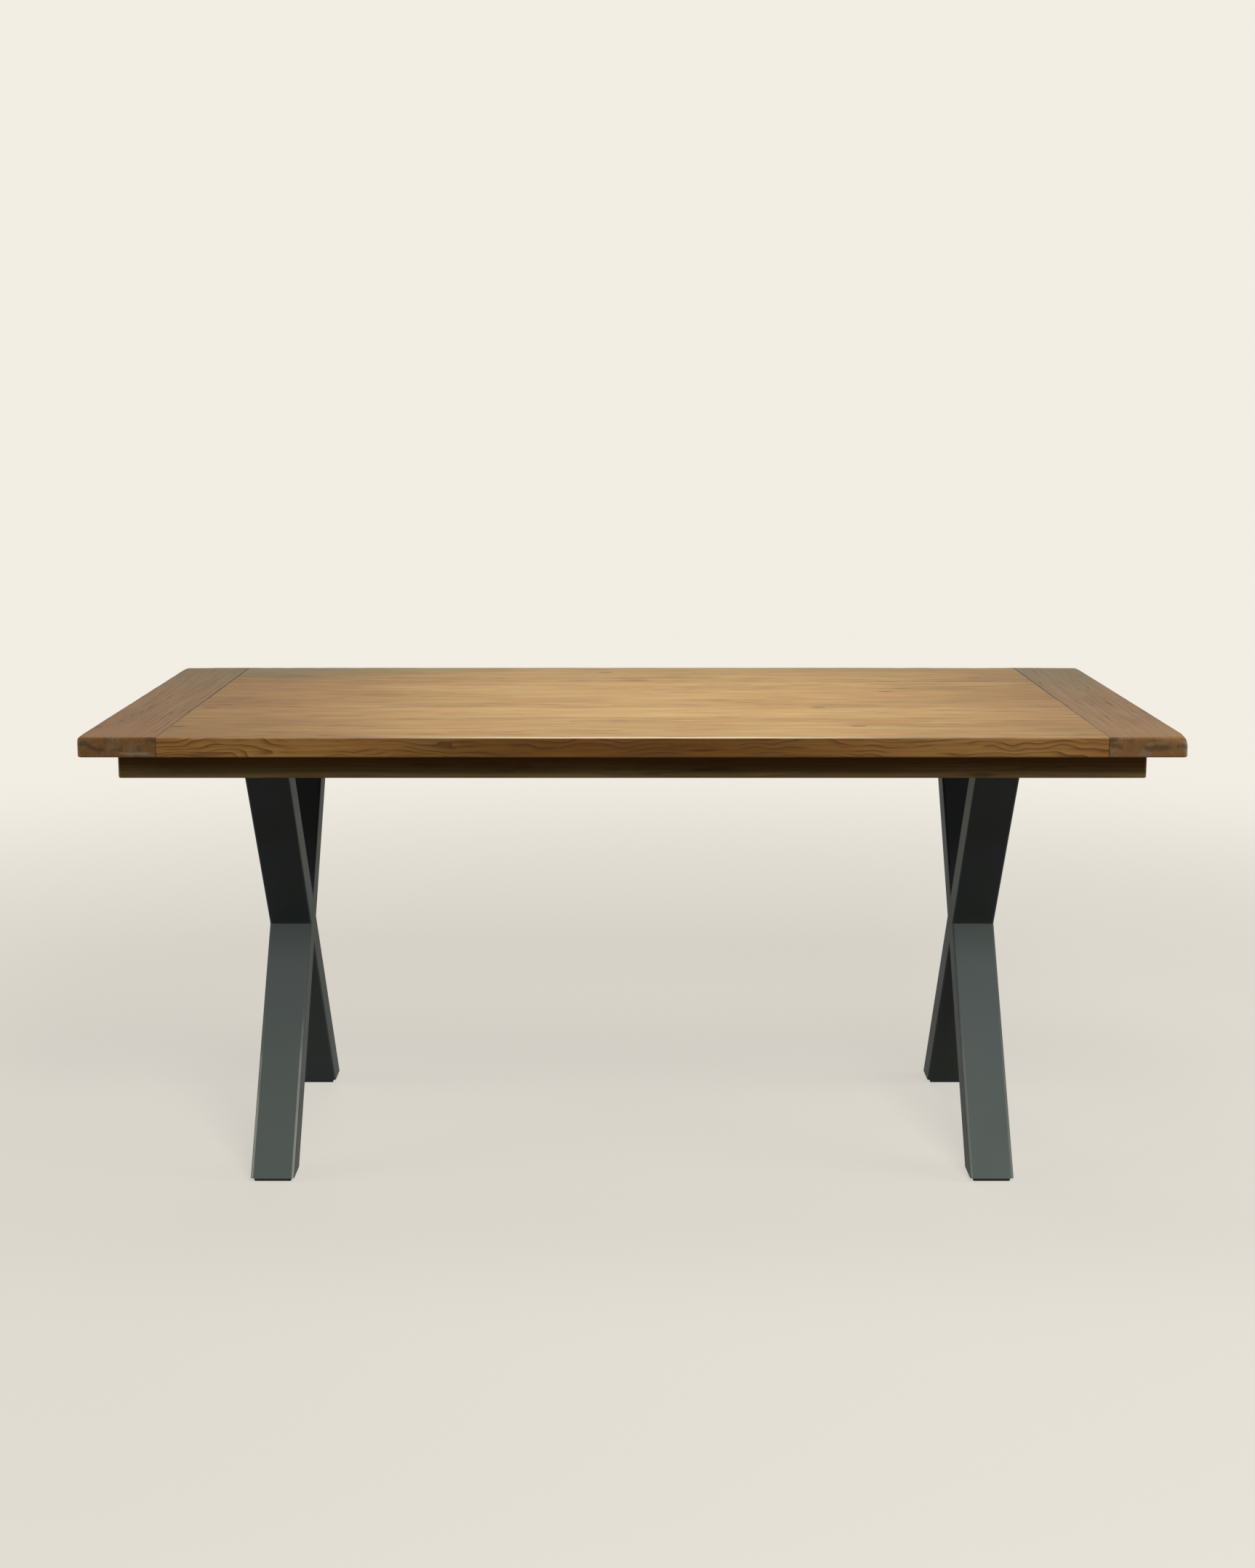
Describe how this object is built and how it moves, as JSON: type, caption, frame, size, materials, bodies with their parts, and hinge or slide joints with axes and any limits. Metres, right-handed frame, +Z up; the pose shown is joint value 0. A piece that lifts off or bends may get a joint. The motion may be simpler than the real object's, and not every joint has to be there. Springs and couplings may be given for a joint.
{
  "type": "sawbuck table",
  "caption": "Rectangular dining table with a solid-wood breadboard top and recessed apron on steel X trestles.",
  "frame": {"origin": "on the floor under the middle of the top", "axes": "+X along the top, +Y from the front to the back, +Z up"},
  "size_m": [1.8, 0.95, 0.805],
  "materials": {
    "top_wood": "oiled, satin",
    "breadboard_wood": "oiled, satin",
    "apron_wood": "dark stain, satin",
    "hidden_wood": "bare",
    "trestle_steel": "fine-textured graphite powder coat",
    "zinc_fasteners": "zinc plated",
    "foot_plastic": "moulded, matt"
  },
  "bodies": {
    "root": {"top_board_1": "top_wood", "top_board_2": "top_wood", "top_board_3": "top_wood", "top_board_4": "top_wood", "top_board_5": "top_wood", "top_board_6": "top_wood", "top_board_7": "top_wood", "top_board_8": "top_wood", "board_splines": "hidden_wood", "breadboard_left": "breadboard_wood", "breadboard_pegs_left": "hidden_wood", "apron_rail_left": "apron_wood", "glue_block_front_left": "hidden_wood", "foot_front_left": "foot_plastic", "glue_block_back_left": "hidden_wood", "foot_back_left": "foot_plastic", "trestle_left_through_leg": "trestle_steel", "trestle_left_upper_half_leg": "trestle_steel", "trestle_left_lower_half_leg": "trestle_steel", "trestle_left_top_plate": "trestle_steel", "trestle_left_bolts": "zinc_fasteners", "trestle_left_inserts": "zinc_fasteners", "breadboard_right": "breadboard_wood", "breadboard_pegs_right": "hidden_wood", "apron_rail_right": "apron_wood", "glue_block_front_right": "hidden_wood", "foot_front_right": "foot_plastic", "glue_block_back_right": "hidden_wood", "foot_back_right": "foot_plastic", "trestle_right_through_leg": "trestle_steel", "trestle_right_upper_half_leg": "trestle_steel", "trestle_right_lower_half_leg": "trestle_steel", "trestle_right_top_plate": "trestle_steel", "trestle_right_bolts": "zinc_fasteners", "trestle_right_inserts": "zinc_fasteners", "apron_rail_front": "apron_wood", "apron_rail_back": "apron_wood", "apron_cross_rail": "apron_wood", "top_buttons": "hidden_wood", "top_button_screws": "zinc_fasteners"}
  },
  "joints": []
}
